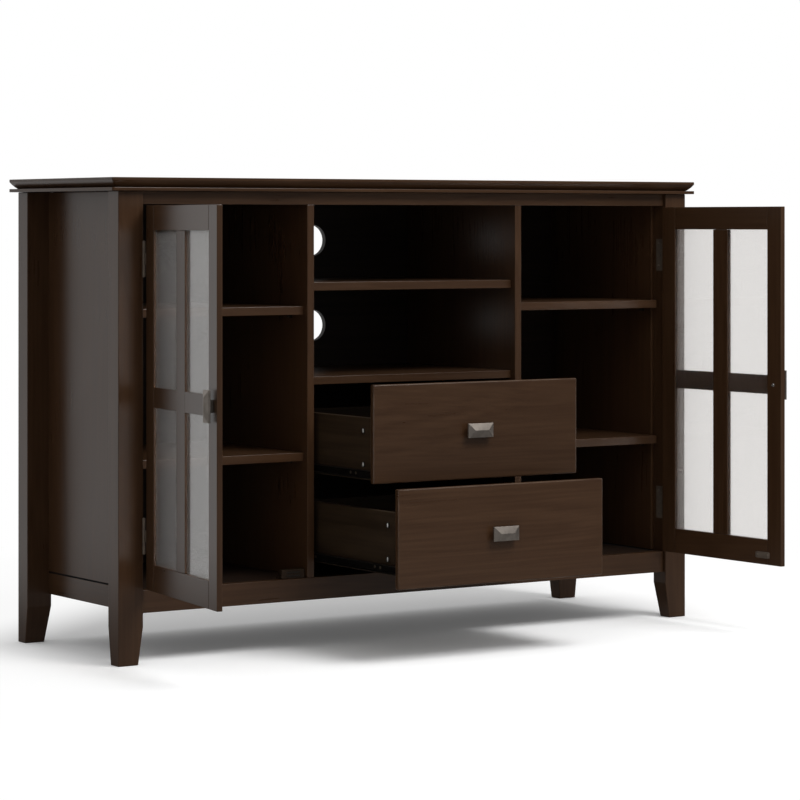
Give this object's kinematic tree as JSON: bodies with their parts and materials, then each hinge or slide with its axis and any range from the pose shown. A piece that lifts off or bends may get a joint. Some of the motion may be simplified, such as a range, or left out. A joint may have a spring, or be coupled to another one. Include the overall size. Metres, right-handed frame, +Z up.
{
  "type": "tall tv stand",
  "caption": "Tall dark wood television stand with glazed cross-barred doors beside an open shelved bay with cable outlets, over drawers, on tapered feet.",
  "frame": {"origin": "on the floor under the middle of the footprint that the stand has with its doors and drawers open as pictured", "axes": "+X to the right as seen from the front, +Y to the back, +Z up"},
  "size_m": [1.346, 0.7712, 0.889],
  "materials": {
    "dark_lacquer": "satin dark brown lacquer over close grain",
    "dark_inside": "matt dark brown",
    "clear_glass": "clear float glass",
    "brushed_pewter": "brushed pewter over cast zinc",
    "hinge_steel": "dull antique steel",
    "black_runner": "black coated steel",
    "catch_plastic": "dark brown matt plastic"
  },
  "bodies": {
    "cabinet": {"top_panel": "dark_lacquer", "top_strip": "dark_lacquer", "post_front_left": "dark_lacquer", "post_front_right": "dark_lacquer", "post_rear_left": "dark_lacquer", "post_rear_right": "dark_lacquer", "top_rail_front": "dark_lacquer", "bottom_rail_front": "dark_lacquer", "side_rail_left": "dark_lacquer", "side_rail_right": "dark_lacquer", "side_panel_left": "dark_lacquer", "side_panel_right": "dark_lacquer", "bottom_panel": "dark_inside", "divider_left": "dark_lacquer", "divider_right": "dark_lacquer", "back_panel": "dark_inside", "drawer_top_shelf": "dark_lacquer", "centre_shelf": "dark_lacquer", "left_upper_shelf": "dark_lacquer", "left_lower_shelf": "dark_lacquer", "right_upper_shelf": "dark_lacquer", "right_lower_shelf": "dark_lacquer", "left_door_catch": "catch_plastic", "right_door_catch": "catch_plastic", "lower_left_runner": "black_runner", "lower_right_runner": "black_runner", "upper_left_runner": "black_runner", "upper_right_runner": "black_runner", "left_lower_hinge": "hinge_steel", "left_upper_hinge": "hinge_steel", "right_lower_hinge": "hinge_steel", "right_upper_hinge": "hinge_steel"},
    "left_door": {"left_door_hinge_stile": "dark_lacquer", "left_door_free_stile": "dark_lacquer", "left_door_top_rail": "dark_lacquer", "left_door_bottom_rail": "dark_lacquer", "left_door_glazing_bars": "dark_lacquer", "left_door_outer_pane": "clear_glass", "left_door_inner_pane": "clear_glass", "left_door_pull": "brushed_pewter"},
    "right_door": {"right_door_hinge_stile": "dark_lacquer", "right_door_free_stile": "dark_lacquer", "right_door_top_rail": "dark_lacquer", "right_door_bottom_rail": "dark_lacquer", "right_door_glazing_bars": "dark_lacquer", "right_door_outer_pane": "clear_glass", "right_door_inner_pane": "clear_glass", "right_door_pull": "brushed_pewter"},
    "upper_drawer": {"upper_drawer_front": "dark_lacquer", "upper_drawer_left_side": "dark_inside", "upper_drawer_right_side": "dark_inside", "upper_drawer_back": "dark_inside", "upper_drawer_bottom": "dark_inside", "upper_drawer_pull": "brushed_pewter"},
    "lower_drawer": {"lower_drawer_front": "dark_lacquer", "lower_drawer_left_side": "dark_inside", "lower_drawer_right_side": "dark_inside", "lower_drawer_back": "dark_inside", "lower_drawer_bottom": "dark_inside", "lower_drawer_pull": "brushed_pewter"}
  },
  "joints": [
    {"name": "left_door_hinge", "type": "hinge", "parent": "cabinet", "child": "left_door", "pos_m": [-0.6052, -0.03067, 0.4876], "axis": [0, 0, -1], "range_deg": [-98.6, 71.4]},
    {"name": "right_door_hinge", "type": "hinge", "parent": "cabinet", "child": "right_door", "pos_m": [0.6052, -0.03067, 0.4876], "axis": [0, 0, 1], "range_deg": [-92.4, 77.6]},
    {"name": "upper_drawer_slide", "type": "slide", "parent": "cabinet", "child": "upper_drawer", "axis": [0, -1, 0], "range_m": [-0.197, 0.103]},
    {"name": "lower_drawer_slide", "type": "slide", "parent": "cabinet", "child": "lower_drawer", "axis": [0, -1, 0], "range_m": [-0.28, 0.02]}
  ]
}
